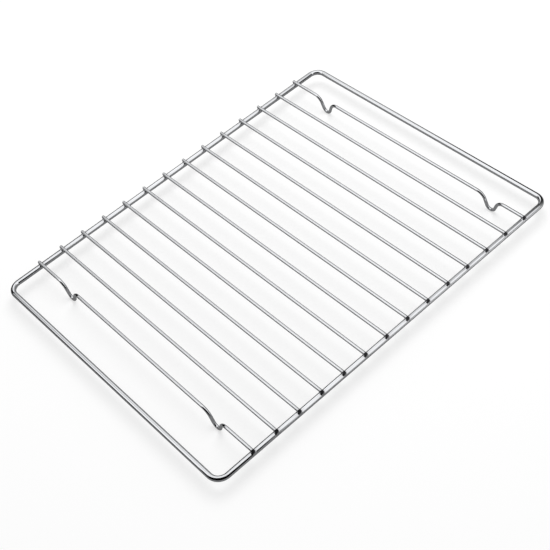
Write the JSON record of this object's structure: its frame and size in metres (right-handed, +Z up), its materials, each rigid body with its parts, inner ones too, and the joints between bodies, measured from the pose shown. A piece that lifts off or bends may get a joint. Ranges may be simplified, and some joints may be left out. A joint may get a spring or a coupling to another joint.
{
  "type": "microwave grill rack",
  "caption": "Low wire rack for a microwave oven: a closed ring of thick wire carries a row of thinner cross wires, and the outer ones dip into short feet.",
  "frame": {"origin": "on the standing surface, under the middle of the ring", "axes": "+X along the ring's long sides, from the left leg wire to the right one; +Y along the cross wires, from the front side to the back side; +Z up, from the feet to the wires that carry the food"},
  "size_m": [0.39, 0.296, 0.0172],
  "materials": {
    "chrome_wire": "bright plated"
  },
  "bodies": {
    "root": {"frame_ring": "chrome_wire", "left_leg_wire": "chrome_wire", "right_leg_wire": "chrome_wire", "cross_wire_2": "chrome_wire", "cross_wire_3": "chrome_wire", "cross_wire_4": "chrome_wire", "cross_wire_5": "chrome_wire", "cross_wire_6": "chrome_wire", "cross_wire_7": "chrome_wire", "cross_wire_8": "chrome_wire", "cross_wire_9": "chrome_wire", "cross_wire_10": "chrome_wire", "cross_wire_11": "chrome_wire", "cross_wire_12": "chrome_wire", "cross_wire_13": "chrome_wire"}
  },
  "joints": []
}
